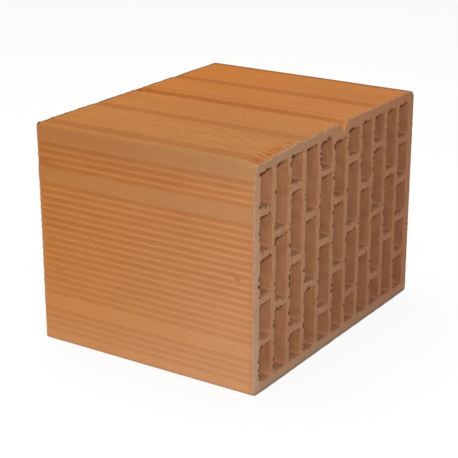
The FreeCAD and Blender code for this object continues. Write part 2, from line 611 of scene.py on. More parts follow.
    def comb(self, x: np.ndarray, y: np.ndarray) -> np.ndarray:
        """Shape the comb's fine lines: the cube of (1 + cos t) / 2, whose troughs are narrow.

        They sway along the block, break up here and there, and fade from the near strip to the far one and
        towards the back end.

        Args:
            x: Places along the block.
            y: Places across it.

        Returns:
            The depth at each place.
        """
        s = self.section
        faded = self.comb_loss * step((y - s.near_y) / s.width, self.comb_fade)
        depth = (self.comb_depth - faded) * rise(self.comb_back, 0.5 + x / s.length)
        swayed = y + self.comb_sway.over(x, y) - s.near_y
        line = (0.5 + 0.5 * np.cos(2 * math.pi * swayed / self.comb_pitch)) ** self.comb_power
        breaks = self.comb_breaks.over(x, y) + self.comb_runs.over(x, y)
        return depth * line * (self.comb_level + breaks)

    def notch(self, x: np.ndarray, y: np.ndarray) -> np.ndarray:
        """Shape the V groove.

        Its section is a hyperbola, whose flanks straighten away from its root. Just inside the back end, a
        flap of dragged clay nearly fills it.

        Args:
            x: Places along the block.
            y: Places across it.

        Returns:
            The depth at each place.
        """
        s = self.section
        root = s.notch_root
        reach = math.hypot(s.notch_width / 2, root)
        across = np.hypot(y - s.notch_offset, root)
        from_back = x + s.length / 2
        flap = self.flap_share * ease((self.flap_length - from_back) / self.flap_slope) * ease(from_back)
        return np.clip((reach - across) * s.notch_depth / (reach - root), 0.0, None) * (1.0 - flap)

    def top(self, x: np.ndarray, y: np.ndarray) -> tuple[np.ndarray, np.ndarray]:
        """Shape the top: combed strips, smooth bands, and the V groove between its raised lips.

        Args:
            x: Places along the block.
            y: Places across it.

        Returns:
            The depth and the painted shade of the hollows at each place.
        """
        s = self.section
        sunk = self.bands(y)
        notch = self.notch(x, y)
        comb = self.comb(x, y) * (1.0 - sunk) * (notch < self.notch_edge)
        aside = np.abs(y - s.notch_offset) - s.notch_width / 2
        lip = bell(aside - self.lip_offset, self.lip_reach) * ease((x + s.length / 2) / self.lip_rise)
        strips = self.strip_level * (1.0 - lip) + comb
        inner = 1.0 - np.exp(-np.clip(s.length / 2 - x, 0.0, None) / self.notch_shade_fade)
        # Painted shade of the smooth bands and the comb lines, and of the V groove, whose shade fades out at
        # the front end
        hollow = self.band_shade * sunk + self.comb_shade * comb
        hollow = hollow + self.notch_shade * ease(notch / self.notch_shade_depth) * inner
        return np.maximum(strips + s.band_depth * sunk, notch), hollow

    def depth(self, outline: Outline, x: np.ndarray) -> tuple[np.ndarray, np.ndarray]:
        """Add up the relief of all faces: their own forms, broad waves and a fine grain.

        Args:
            outline: The envelope, of N points.
            x: Places along the block, as an array of rows by N.

        Returns:
            The depth, and the painted shade of the hollows from 0 for level skin up, both rows by N.
        """
        y, z, side = (np.broadcast_to(part, x.shape) for part in (outline.y, outline.z, outline.side))
        uneven = self.waves.raised(x, y, z) + self.grain.raised(x, y, z)
        grooves = np.where((side == Side.NEAR) | (side == Side.FAR), self.grooves(x, z), 0.0)
        marks = np.where(side == Side.NEAR, self.near_marks(x, z), 0.0)
        top, top_shade = (np.where(side == Side.TOP, part, 0.0) for part in self.top(x, y))
        # Painted shade of the grooves and the pits
        groove_shading = self.groove_shade * grooves / self.section.groove_depth
        hollow = np.clip(np.maximum(groove_shading, marks / self.mark_shade_depth), 0.0, 1.0) + top_shade
        uneven = np.where(side == Side.UNDER, self.under_share, 1.0) * uneven
        return np.maximum(grooves, marks) + top + uneven, hollow


@dataclass(frozen=True)
class WireCut:
    """How the cutting wire left the ends: rough faces, frayed rims, a drooped corner and bent webs.

    Names that start with rip say how far the skin's rim is drawn back from an end, and those that start
    with wear how deep it is worn down there. Lengths are in millimetres.
    """

    section: Section
    level: float = 0.55
    least: float = 0.02
    broad: Ripple = Ripple(CUT_SEED, 0.25, 55.0, 55.0, layers=2)
    drag: Ripple = Ripple(CUT_SEED, 0.16, 26.0, 2.2, layers=2)
    grain: Ripple = Ripple(CUT_SEED, 0.14, 2.4, 2.4, layers=2)
    front_plane: float = 1.5
    back_plane: float = 8.5
    droop: float = 3.8
    droop_width: float = 72.0
    droop_level: float = 1.25
    droop_height: float = 24.0
    droop_length: float = 17.0
    droop_power: float = 1.5
    lean: float = 3.8
    lean_width: float = 12.0
    bend_y: Ripple = Ripple(CUT_SEED, 1.15, 34.0, 38.0, plane=21.5)
    bend_z: Ripple = Ripple(CUT_SEED, 1.0, 30.0, 42.0, plane=35.5)
    ragged: Ripple = Ripple(CUT_SEED, 1.0, 4.2, 3.2, layers=3)
    end_shift: float = 37.8
    rip_front: float = 2.4
    rip_back: float = 0.8
    rip_near: float = 0.45
    rip_lip: float = 1.2
    rip_lip_offset: float = 8.0
    rip_lip_reach: float = 8.0
    rip_level: float = 0.25
    rip_raggedness: float = 1.2
    rip_proud: float = 0.8
    rip_reach: float = 2.6
    wear_front: float = 0.1
    wear_back: float = 0.15
    wear_near_strips: float = 1.7
    wear_far_strips: float = 0.9
    wear_elsewhere: float = 0.2
    wear_lip: float = 1.2
    wear_lip_offset: float = 10.0
    wear_lip_reach: float = 7.0
    wear_level: float = 0.4
    wear_raggedness: float = 0.8
    wear_reach: float = 1.6
    whole_lip_offset: float = 0.8
    whole_lip_reach: float = 1.4

    def rough(self, y: np.ndarray, z: np.ndarray, front: bool) -> np.ndarray:
        """Roughen an end by broad waves, lines that the wire dragged, and grain.

        Args:
            y: Places across the block.
            z: Heights.
            front: Whether this is the front end.

        Returns:
            How far the end lies behind its flat plane at each place.
        """
        turn = math.radians(DRAG_ANGLE)
        along = y * math.cos(turn) - z * math.sin(turn)
        across = y * math.sin(turn) + z * math.cos(turn)
        plane = self.front_plane if front else self.back_plane
        broad = self.broad.over(y, z, plane)
        drag = self.drag.over(along, across, plane)
        grain = self.grain.over(y, z, plane)
        return np.clip(self.level + broad + drag + grain, self.least, None)

    def sag(self, x: np.ndarray, y: np.ndarray, z: np.ndarray) -> tuple[np.ndarray, np.ndarray]:
        """Sink the soft top corner at the near side of the front end, and lean it inwards.

        Both are greatest at the very corner and fade by smooth steps along the block and across it, and by
        a power of the distance down from the top.

        Args:
            x: Places along the block.
            y: Places across it.
            z: Heights.

        Returns:
            The shift across the block and the shift upwards.
        """
        s = self.section
        from_near = y - s.near_y
        along = ease(1.0 - (s.length / 2 - x) / self.droop_length)
        down = np.clip(1.0 - (s.height - z) / self.droop_height, 0.0, 1.0) ** self.droop_power
        across = ease(self.droop_level * (1.0 - from_near / self.droop_width))
        lean = self.lean * along * down * ease(1.0 - from_near / self.lean_width)
        return lean, -self.droop * along * across * down

    def fray(self, outline: Outline, x: np.ndarray, from_end: np.ndarray) -> tuple[np.ndarray, np.ndarray]:
        """Fray the skin's rim beside both ends.

        Both shifts are bells of the distance from the end, times one ragged noise. They are strongest on
        the top at the front end, and most of all just before the near lip of the V groove. The lip itself
        isn't worn.

        Args:
            outline: The envelope, of N points.
            x: Places along the block, as an array of rows by N.
            from_end: The distance of each row from the nearer end, as a column.

        Returns:
            How far each place is drawn back from its end, and how deep it is worn.
        """
        s = self.section
        front, top = x > 0, outline.side == Side.TOP
        past_lip = outline.y - s.notch_offset + s.notch_width / 2
        ragged = self.ragged.over(outline.y + np.sign(x) * self.end_shift, outline.z)
        beside = self.rip_lip * bell(past_lip + self.rip_lip_offset, self.rip_lip_reach)
        rip = np.where(front, self.rip_front + beside, self.rip_back)
        rip = np.where(outline.side == Side.NEAR, self.rip_near, rip)
        rip = rip * bell(from_end, self.rip_reach) * (from_end > 0)
        drawn = np.maximum(rip * (self.rip_level + self.rip_raggedness * ragged), -self.rip_proud)
        strips = np.where(outline.y > s.notch_offset, self.wear_far_strips, self.wear_near_strips)
        beside = self.wear_lip * bell(past_lip + self.wear_lip_offset, self.wear_lip_reach)
        wear = np.where(top & front, strips + beside, self.wear_elsewhere)
        wear = wear * ease(self.wear_level + ragged / self.wear_raggedness)
        worn = (np.where(front, self.wear_front, self.wear_back) + wear) * bell(from_end, self.wear_reach)
        return drawn, worn * (1.0 - bell(past_lip + self.whole_lip_offset, self.whole_lip_reach) * top)


@dataclass
class Core(Line):
    """The wall of one core, against the clock seen from the front, and how its mouths are torn.

    Ripples say how uneven a form is. Lengths say how far it reaches behind the mouth. Pairs of limits say
    between which values of a ripple a form grows from nothing to its full size. The box is its near y, far y,
    floor z and ceiling z, and the radius that of its corners.
    """

    box: tuple[float, float, float, float]
    radius: float
    floor_spacing: float = 1.1
    far_spacing: float = 3.2
    ceiling_spacing: float = 1.0
    near_spacing: float = 1.0
    corner_count: int = 3
    tag_y: float = 0.37
    tag_z: float = 0.11
    tag_back: float = 50.0
    bevel: Ripple = Ripple(CUT_SEED, 0.5, 3.6, 1.0, layers=2)
    bevel_depth: float = 0.4
    bevel_length: float = 1.3
    spots: Ripple = Ripple(CUT_SEED, 1.0, 1.8, 1.0, shift=3.0, layers=2)
    pocket_depth: float = 0.95
    pocket_limits: tuple[float, float] = (0.16, 0.46)
    pocket_length: float = 1.0
    crest_height: float = 0.3
    crest_limits: tuple[float, float] = (0.1, -0.3)
    crumbs: Ripple = Ripple(CUT_SEED, 1.0, 1.8, 1.0, shift=7.0, layers=2)
    dent_depth: float = 0.5
    burr_rise: float = 1.6
    burr_limits: tuple[float, float] = (-0.2, 0.5)
    edge: Ripple = Ripple(CUT_SEED, 0.12, 3.0, 1.0, shift=11.0)
    lip_length: float = 2.0

    def __post_init__(self) -> None:
        """Lay the floor, the far wall, the ceiling and the near wall end to end, with round corners."""
        near, far, floor, ceiling = self.box
        r, count = self.radius, self.corner_count
        self.y, self.z, self.into_y, self.into_z = np.concatenate([
            self._straight(self._spaced(near + r, far - r, self.floor_spacing), floor, 0, -1),
            self._quarter(far - r, floor + r, r, -90, count, 1),
            self._straight(far, self._spaced(floor + r, ceiling - r, self.far_spacing), 1, 0),
            self._quarter(far - r, ceiling - r, r, 0, count, 1),
            self._straight(self._spaced(far - r, near + r, self.ceiling_spacing), ceiling, 0, 1),
            self._quarter(near + r, ceiling - r, r, 90, count, 1),
            self._straight(near, self._spaced(ceiling - r, floor + r, self.near_spacing), -1, 0),
            self._quarter(near + r, floor + r, r, 180, count, 1),
        ]).T

    @staticmethod
    def _spaced(start: float, end: float, spacing: float) -> np.ndarray:
        """Return places from start up to, but without, end, about as far apart as the spacing."""
        share = np.linspace(0.0, 1.0, max(2, round(abs(end - start) / spacing)), endpoint=False)
        return start * (1 - share) + end * share

    def torn(self, behind: np.ndarray, front: bool) -> np.ndarray:
        """Tear the edge of one mouth.

        The wire left each ceiling in a wavy bevel, picked pockets out of the near wall and left crests
        between them, dented the floor and pushed small burrs over it, and rounded the far wall. All fade by
        smooth steps behind the mouth. A number made from the core's place tells its noise from the others'.

        Args:
            behind: Distance behind the end for each ring, as a column.
            front: Whether the mouth is the front one.

        Returns:
            Millimetres into the clay, rings by points, below zero where a burr stands proud.
        """
        near, _, floor, _ = self.box
        tag = near * self.tag_y + floor * self.tag_z + (0.0 if front else self.tag_back)
        bevel = self.bevel_depth + self.bevel.over(self.y, tag, tag)
        spots = self.spots.over(self.z, tag, tag)
        pockets = self.pocket_depth * step(spots, self.pocket_limits)
        pockets = pockets - self.crest_height * step(spots, self.crest_limits)
        crumbs = self.crumbs.over(self.y, tag, tag)
        burrs = self.dent_depth - self.burr_rise * step(crumbs, self.burr_limits)
        edge = self.edge.raised(self.z, tag, tag)
        lip = ease(1.0 - behind / self.lip_length)
        up, down = np.clip(self.into_z, 0, 1), np.clip(-self.into_z, 0, 1)
        away, beyond = np.clip(-self.into_y, 0, 1), np.clip(self.into_y, 0, 1)
        return (
            up * bevel * ease(1.0 - behind / self.bevel_length)
            + away * pockets * ease(1.0 - behind / (self.pocket_length + np.abs(pockets)))
            + down * burrs * lip
            + beyond * edge * lip
        )


class Finish(IntEnum):
    """The material slots of the block's mesh."""

    SKIN = 0
    CUT = 1
    CORE = 2


@dataclass
class Shell:
    """Points, point values by label and faces of one mesh, gathered in blocks. Triangles are cut clay."""

    points: list[np.ndarray] = field(default_factory=list)
    values: dict[str, list[np.ndarray]] = field(
        default_factory=lambda: {"hollow": [], "torn": [], "floor": []}
    )
    quads: list[np.ndarray] = field(default_factory=list)
    quad_finish: list[np.ndarray] = field(default_factory=list)
    triangles: list[np.ndarray] = field(default_factory=list)
    count: int = 0

    def add_points(self, x: np.ndarray, y: np.ndarray, z: np.ndarray, **values: np.ndarray) -> np.ndarray:
        """Add points.

        Args:
            x: Places along the block, in any one shape.
            y: Places across it.
            z: Heights.
            values: Point values by label. A value that isn't given is 0.

        Returns:
            The numbers of the points, in the shape of x.
        """
        numbers = np.arange(self.count, self.count + x.size).reshape(x.shape)
        self.points.append(np.column_stack([x.ravel(), y.ravel(), z.ravel()]))
        for label, parts in self.values.items():
            parts.append(np.broadcast_to(values.get(label, 0.0), x.shape).ravel())
        self.count += x.size
        return numbers

    def add_tube(self, rings: np.ndarray, finish: Finish) -> None:
        """Join closed rings into a tube by quads.

        Args:
            rings: Point numbers, one row for each ring.
            finish: The tube's material slot. Its first and its last gap are cut clay.
        """
        ahead = np.roll(rings, -1, axis=1)
        quads = np.stack([rings[:-1], ahead[:-1], ahead[1:], rings[1:]], axis=-1)
        gaps = np.full(len(rings) - 1, int(finish))
        gaps[[0, -1]] = int(Finish.CUT)
        self.quads.append(quads.reshape(-1, 4))
        self.quad_finish.append(np.repeat(gaps, rings.shape[1]))

    def mesh(self, name: str) -> bpy.types.Mesh:
        """Make the gathered shell a Blender mesh in metres, smooth apart from its sharp edges.

        Args:
            name: The mesh's name.

        Returns:
            The mesh.
        """
        quads = np.concatenate(self.quads)
        triangles = np.concatenate(self.triangles)
        corners = np.concatenate([quads.ravel(), triangles.ravel()])
        quad_starts = np.arange(len(quads)) * 4
        triangle_starts = quads.size + np.arange(len(triangles)) * 3
        starts = np.concatenate([quad_starts, triangle_starts])
        finish = np.concatenate([*self.quad_finish, np.full(len(triangles), int(Finish.CUT))])
        mesh = bpy.data.meshes.new(name)
        mesh.vertices.add(self.count)
        mesh.vertices.foreach_set("co", (np.concatenate(self.points) * MM).ravel())
        mesh.loops.add(len(corners))
        mesh.loops.foreach_set("vertex_index", corners.astype(np.int32))
        mesh.polygons.add(len(starts))
        mesh.polygons.foreach_set("loop_start", starts.astype(np.int32))
        mesh.polygons.foreach_set("material_index", finish.astype(np.int32))
        for label, parts in self.values.items():
            layer = mesh.attributes.new(label, "FLOAT", "POINT")
            layer.data.foreach_set("value", np.concatenate(parts).astype(np.float32))
        mesh.update(calc_edges=True)
        mesh.validate()
        mesh.set_sharp_from_angle(angle=math.radians(SHARP_ANGLE))
        return mesh


def inside(ring: np.ndarray, points: np.ndarray) -> np.ndarray:
    """Tell which points lie inside a closed ring, by the parity of the edges on one side of them.

    Args:
        ring: The ring's corners, as rows of y and z.
        points: The points, as rows of y and z.

    Returns:
        True for each point inside.
    """
    y0, z0 = ring.T
    y1, z1 = np.roll(y0, -1), np.roll(z0, -1)
    y, z = points[:, :1], points[:, 1:]
    spans = (z0 > z) != (z1 > z)
    height = np.where(z1 == z0, 1.0, z1 - z0)
    crossing = y0 + (z - z0) / height * (y1 - y0)
    return (spans & (y < crossing)).sum(axis=1) % 2 == 1


@dataclass
class ClayBlock:
    """The fired block as one closed mesh: skin, two wire-cut ends and all core walls.

    Front distances of the skin's rows and the cores' rings run behind the front end, and back ones before
    the back end. The grid spacing, its jitter as a share, and the clearance from every ring are those of the
    points scattered over an end. All lengths are in millimetres.
    """

    section: Section
    skin_front: tuple[float, ...] = (0.0, 1.2, 2.4, 4.0, 6.5, 10.0, 14.0)
    skin_middle: tuple[float, float] = (18.0, 14.0)
    skin_middle_count: int = 46
    skin_back: tuple[float, ...] = (10.0, 5.0, 2.4, 1.2, 0.0)
    core_front: tuple[float, ...] = (0.0, 0.6, 1.3, 2.2, 3.4, 7.0)
    core_back: tuple[float, ...] = (3.4, 1.6, 0.0)
    scar_margin: float = 2.0
    tear_shade_limits: tuple[float, float] = (0.2, 0.8)
    grid_spacing: float = 2.5
    jitter: float = 0.35
    clearance: float = 0.9
    search_margin: float = 2.0
    weld: float = 1e-5
    outline: Outline = field(init=False)
    relief: SkinRelief = field(init=False)
    cut: WireCut = field(init=False)
    cores: list[Core] = field(init=False)
    shell: Shell = field(default_factory=Shell)
    rng: np.random.Generator = field(init=False)

    def __post_init__(self) -> None:
        """Prepare the outline, the relief, the cut and the cores."""
        self.outline = Outline(self.section)
        self.relief = SkinRelief(self.section)
        self.cut = WireCut(self.section)
        self.cores = [Core(box, self.section.core_radius) for box in self.section.core_boxes()]
        self.rng = np.random.default_rng(SCATTER_SEED)

    def _add_rows(self, x: np.ndarray, y: np.ndarray, z: np.ndarray, **values: np.ndarray) -> np.ndarray:
        """Add rows of points from the front end to the back end, rough at both and sunk at the soft corner.

        Args:
            x: Places along the block, rows by points.
            y: Places across it.
            z: Heights.
            values: Point values by label.

        Returns:
            The numbers of the points, rows by points.
        """
        x[0] -= self.cut.rough(y[0], z[0], True)
        x[-1] += self.cut.rough(y[-1], z[-1], False)
        shift_y, shift_z = self.cut.sag(x, y, z)
        return self.shell.add_points(x, y + shift_y, z + shift_z, **values)

    def _skin(self) -> np.ndarray:
        """Add the skin: a grid of envelope points, sunk into the clay by the relief and frayed at the ends.

        Returns:
            The numbers of its points, one row for each ring.
        """
        length, line = self.section.length, self.outline
        middle = np.linspace(self.skin_middle[0], length - self.skin_middle[1], self.skin_middle_count)
        behind = np.concatenate([self.skin_front, middle, length - np.array(self.skin_back)])[:, None]
        from_end = np.minimum(behind, length - behind)
        x = np.broadcast_to(length / 2 - behind, (behind.size, line.y.size)).copy()
        depth, hollow = self.relief.depth(line, x)
        drawn, worn = self.cut.fray(line, x, from_end)
        x -= np.sign(x) * drawn
        y = line.y + line.into_y * (depth + worn)
        z = line.z + line.into_z * (depth + worn)
        torn = self.relief.scars(x, y) * (line.side == Side.TOP) * (from_end > self.scar_margin)
        return self._add_rows(x, y, z, hollow=hollow, torn=torn)

    def _core(self, core: Core) -> np.ndarray:
        """Add the rings of one core, which is gently bent and torn at both mouths.

        Args:
            core: The core.

        Returns:
            The numbers of its points, one row for each ring.
        """
        length = self.section.length
        behind = np.concatenate([self.core_front, [length / 2], length - np.array(self.core_back)])[:, None]
        front = core.torn(behind, True)
        back = core.torn(length - behind, False)
        tear = front + back
        y = core.y + core.into_y * tear + self.cut.bend_y.over(core.y, core.z)
        z = core.z + core.into_z * tear + self.cut.bend_z.over(core.y, core.z)
        x = np.broadcast_to(length / 2 - behind, y.shape).copy()
        # The torn value grows with the depth of each tear and is painted as shade at the mouths; the floor
        # value marks the floors, which are painted lighter
        floor = np.clip(-core.into_z, 0.0, 1.0)
        return self._add_rows(x, y, z, torn=step(tear, self.tear_shade_limits), floor=floor)

    def _cap(self, rings: list[np.ndarray], front: bool) -> None:
        """Close one end: scatter points over the clay and join them and the rings by triangles.

        Args:
            rings: Point numbers of the outer ring and then of every core's mouth.
            front: Whether this is the front end.
        """
        points = np.concatenate(self.shell.points)
        flat = [points[ring][:, 1:] for ring in rings]
        inner = self._scatter(flat)
        behind = self.cut.rough(inner[:, 0], inner[:, 1], front)
        x = (self.section.length / 2 - behind) * (1 if front else -1)
        numbers = self.shell.add_points(x, inner[:, 0], inner[:, 1])
        order = np.concatenate([*rings, numbers])
        chosen = self._triangles(flat, inner)
        self.shell.triangles.append(order[chosen if front else chosen[:, ::-1]])

    def _scatter(self, rings: list[np.ndarray]) -> np.ndarray:
        """Scatter jittered grid points over the clay of an end.

        Args:
            rings: The outer ring and then every core's, as rows of y and z.

        Returns:
            The points that lie in the clay, clear of all rings, as rows of y and z.
        """
        s = self.section
        across = np.arange(s.near_y, s.far_y, self.grid_spacing)
        y, z = np.meshgrid(across, np.arange(0.0, s.height, self.grid_spacing))
        grid = np.column_stack([y.ravel(), z.ravel()])
        grid += self.rng.uniform(-self.jitter, self.jitter, grid.shape) * self.grid_spacing
        keep = inside(rings[0], grid)
        for number, ring in enumerate(rings):
            low, high = ring.min(axis=0) - self.search_margin, ring.max(axis=0) + self.search_margin
            close = np.flatnonzero(np.all((grid > low) & (grid < high), axis=1))
            apart = grid[close][:, None] - ring
            keep[close] &= np.hypot(apart[..., 0], apart[..., 1]).min(axis=1) > self.clearance
            if number:
                keep[close] &= ~inside(ring, grid[close])
        return grid[keep]

    def _triangles(self, rings: list[np.ndarray], inner: np.ndarray) -> np.ndarray:
        """Join rings and scattered points by Delaunay triangles.

        A triangle whose corners all lie on one ring may fall in a core or outside the block, so its middle
        is tested against that ring.

        Args:
            rings: The outer ring and then every core's, as rows of y and z.
            inner: The scattered points.

        Returns:
            Rows of three point numbers, against the clock, which count along all rings and then inner.
        """
        places = np.concatenate([*rings, inner])
        owners = [np.full(len(ring), number) for number, ring in enumerate(rings)]
        owner = np.concatenate([*owners, np.full(len(inner), -1)])
        edges, start = [], 0
        for ring in rings:
            numbers = np.arange(start, start + len(ring))
            edges.append(np.column_stack([numbers, np.roll(numbers, -1)]))
            start += len(ring)
        points, _, faces, sources, _, _ = delaunay_2d_cdt(
            [Vector(place) for place in places.tolist()], np.concatenate(edges).tolist(), [], 0, self.weld
        )
        if len(points) != len(places):
            LOG.warning("the cap has %d points for %d", len(points), len(places))
        first = np.array([source[0] for source in sources])
        triangles = first[np.array(faces)]
        a, b, c = (places[triangles[:, corner]] for corner in range(3))
        turn = (b[:, 0] - a[:, 0]) * (c[:, 1] - a[:, 1]) - (b[:, 1] - a[:, 1]) * (c[:, 0] - a[:, 0])
        triangles[turn < 0] = triangles[turn < 0][:, ::-1]
        middles = (a + b + c) / 3
        held = owner[triangles]
        same = np.all(held == held[:, :1], axis=1)
        keep = np.ones(len(triangles), dtype=bool)
        for number, ring in enumerate(rings):
            mine = same & (held[:, 0] == number)
            within = inside(ring, middles[mine])
            keep[mine] = within if number == 0 else ~within
        return triangles[keep]

    def build(self) -> bpy.types.Object:
        """Build and dress the whole block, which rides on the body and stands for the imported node.

        Returns:
            The block's object.
        """
        tubes = [self._skin(), *(self._core(core) for core in self.cores)]
        for number, rings in enumerate(tubes):
            self.shell.add_tube(rings, Finish.CORE if number else Finish.SKIN)
        self._cap([rings[0] for rings in tubes], True)
        self._cap([rings[-1] for rings in tubes], False)
        mesh = self.shell.mesh("clay_block_body")
        block = add_object("clay_block_body", mesh)
        for finish in (FiredSkin(), WireCutClay(), CoreWall()):
            mesh.materials.append(finish.material())
        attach(block, BODY)
        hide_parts(NODE)
        triangle_count = len(mesh.loops) - 2 * len(mesh.polygons)
        LOG.info("%s: %d cores, %d triangles", block.name, len(self.cores), triangle_count)
        return block


class Wire:
    """A node's output, with operators that add Math nodes to its sheet."""

    def __init__(self, sheet: "NodeSheet", socket: bpy.types.NodeSocket) -> None:
        """Hold the sheet and the socket."""
        self.sheet = sheet
        self.socket = socket

    def _maths(self, operation: str, *values: "Wire | float", clamp: bool = False) -> "Wire":
        """Add one Math node."""
        settings = {"operation": operation, "use_clamp": clamp}
        return self.sheet.node("ShaderNodeMath", settings, dict(enumerate(values)))

    def __add__(self, other: "Wire | float") -> "Wire":
        """Add."""
        return self._maths("ADD", self, other)

    __radd__ = __add__

    def __sub__(self, other: "Wire | float") -> "Wire":
        """Take away."""
        return self._maths("SUBTRACT", self, other)

    def __rsub__(self, other: "Wire | float") -> "Wire":
        """Take this away from a value."""
        return self._maths("SUBTRACT", other, self)

    def __mul__(self, other: "Wire | float") -> "Wire":
        """Multiply."""
        return self._maths("MULTIPLY", self, other)

    __rmul__ = __mul__

    def held(self) -> "Wire":
        """Hold the value between 0 and 1."""
        return self._maths("ADD", self, 0.0, clamp=True)

    def ramp(self, low: float, high: float) -> "Wire":
        """Rise by a smooth step from 0 at low to 1 at high, whichever of them is greater."""
        sockets = {"Value": self, "From Min": low, "From Max": high}
        return self.sheet.node("ShaderNodeMapRange", {"interpolation_type": "SMOOTHSTEP"}, sockets)


Value = Wire | float | Colour


class NodeSheet:
    """The node tree of a material or of the world."""

    def __init__(self, owner: bpy.types.Material | bpy.types.World, output: str) -> None:
        """Empty the owner's tree and give it an output.

        Args:
            owner: The material or the world.
            output: The type of its output node.
        """
        owner.use_nodes = True
        self.tree = owner.node_tree
        self.tree.nodes.clear()
        self.output = self.tree.nodes.new(output)

    def node(
        self, kind: str, settings: dict[str, Any], sockets: dict[int | str, Any], out: int | str = 0
    ) -> Wire:
        """Add any node.

        Args:
            kind: The node's type.
            settings: Its own settings, set first.
            sockets: Values or wires for its inputs, by name or number.
            out: The output to return.

        Returns:
            That output.
        """
        made = self.tree.nodes.new(kind)
        for key, value in settings.items():
            setattr(made, key, value)
        for key, value in sockets.items():
            self.feed(made.inputs[key], value)
        return Wire(self, made.outputs[out])

    def feed(self, socket: bpy.types.NodeSocket, value: Value) -> None:
        """Link a wire to an input, or set a number, a vector or a colour on it.

        Args:
            socket: The input.
            value: What it gets.
        """
        if isinstance(value, Wire):
            self.tree.links.new(value.socket, socket)
        elif isinstance(value, tuple) and len(socket.default_value) == 4:
            socket.default_value = (*value, 1.0)
        else:
            socket.default_value = value

    def seen(self) -> Wire:
        """Tell which rays show a backdrop itself.

        Returns:
            1 for rays from the camera, a mirror or glass, and 0 for the others.
        """
        rays = ("Is Camera Ray", "Is Glossy Ray", "Is Transmission Ray")
        camera, glossy, transmission = (self.node("ShaderNodeLightPath", {}, {}, ray) for ray in rays)
        return (camera + glossy + transmission).held()

    def show(self, first: Wire, second: Wire, share: Wire) -> None:
        """Blend two shaders by a share of the second, and feed the output with them."""
        blend = self.node("ShaderNodeMixShader", {}, {0: share, 1: first, 2: second})
        self.feed(self.output.inputs["Surface"], blend)


class ClaySheet(NodeSheet):
    """The node tree of a clay finish, on Object coordinates in metres."""

    GLOSS: ClassVar[float] = 0.12

    def __init__(self, name: str) -> None:
        """Start a material with one Principled surface, and its coordinates as wires.

        Args:
            name: The material's name.
        """
        self.material = bpy.data.materials.new(name)
        super().__init__(self.material, "ShaderNodeOutputMaterial")
        surface = self.node("ShaderNodeBsdfPrincipled", {}, {"Specular IOR Level": self.GLOSS})
        self.feed(self.output.inputs["Surface"], surface)
        self.surface = surface.socket.node
        self.place = self.node("ShaderNodeTexCoord", {}, {}, "Object")
        axes = self.node("ShaderNodeSeparateXYZ", {}, {0: self.place}).socket.node
        self.x, self.y, self.z = (Wire(self, axis) for axis in axes.outputs)

    def mix(self, first: Value, second: Value, share: Value) -> Wire:
        """Blend two colours by a share of the second, held between 0 and 1."""
        settings = {"data_type": "RGBA", "clamp_factor": True}
        return self.node("ShaderNodeMix", settings, {0: share, 6: first, 7: second}, 2)

    def coat(self, base: Value, layers: Iterable[tuple[Value, Value]]) -> Value:
        """Lay colours over a base one after another.

        Args:
            base: The lowest colour.
            layers: Pairs of a colour and its share, from the lowest up.

        Returns:
            The blended colour.
        """
        for colour, share in layers:
            base = self.mix(base, colour, share)
        return base

    def grain(
        self, size: float, detail: float, stretch: Colour = (1.0, 1.0, 1.0), turn: float = 0.0
    ) -> Wire:
        """Return noise of 0 to 1.

        Args:
            size: The size of a grain, in millimetres.
            detail: How many finer layers it has.
            stretch: How much longer the grains are along X, Y and Z.
            turn: How far the pattern is turned round X, in degrees.

        Returns:
            The noise.
        """
        scale = tuple(1.0 / (size * MM * axis) for axis in stretch)
        sockets = {"Vector": self.place, "Rotation": (math.radians(turn), 0.0, 0.0)}
        turned = self.node("ShaderNodeMapping", {"vector_type": "TEXTURE"}, sockets)
        cells = self.node("ShaderNodeVectorMath", {"operation": "MULTIPLY"}, {0: turned, 1: scale})
        return self.node("ShaderNodeTexNoise", {}, {"Vector": cells, "Scale": 1.0, "Detail": detail})

    def value(self, name: str) -> Wire:
        """Return a point value that the mesh carries."""
        return self.node("ShaderNodeAttribute", {"attribute_name": name}, {}, "Fac")

    def mouth_shade(self) -> Wire:
        """Return the painted shade in the torn mouths of the cores, a little less towards the far side."""
        return self.value("torn").ramp(0.1, 0.7) * (1.0 - 0.3 * self.y.ramp(-0.06, 0.12))

    def finish(
        self, colour: Value, roughness: Value, height: Wire, distance: float, strength: float
    ) -> bpy.types.Material:
        """Feed the surface.

        Args:
            colour: Its base colour.
            roughness: Its roughness.
            height: Its fine relief, from 0 to 1.
            distance: How high that relief is, in millimetres.
            strength: How much of it shows.

        Returns:
            The material.
        """
        sockets = {"Height": height, "Distance": distance * MM, "Strength": strength}
        normal = self.node("ShaderNodeBump", {}, sockets)
        for name, value in (("Base Color", colour), ("Roughness", roughness), ("Normal", normal)):
            self.feed(self.surface.inputs[name], value)
        return self.material


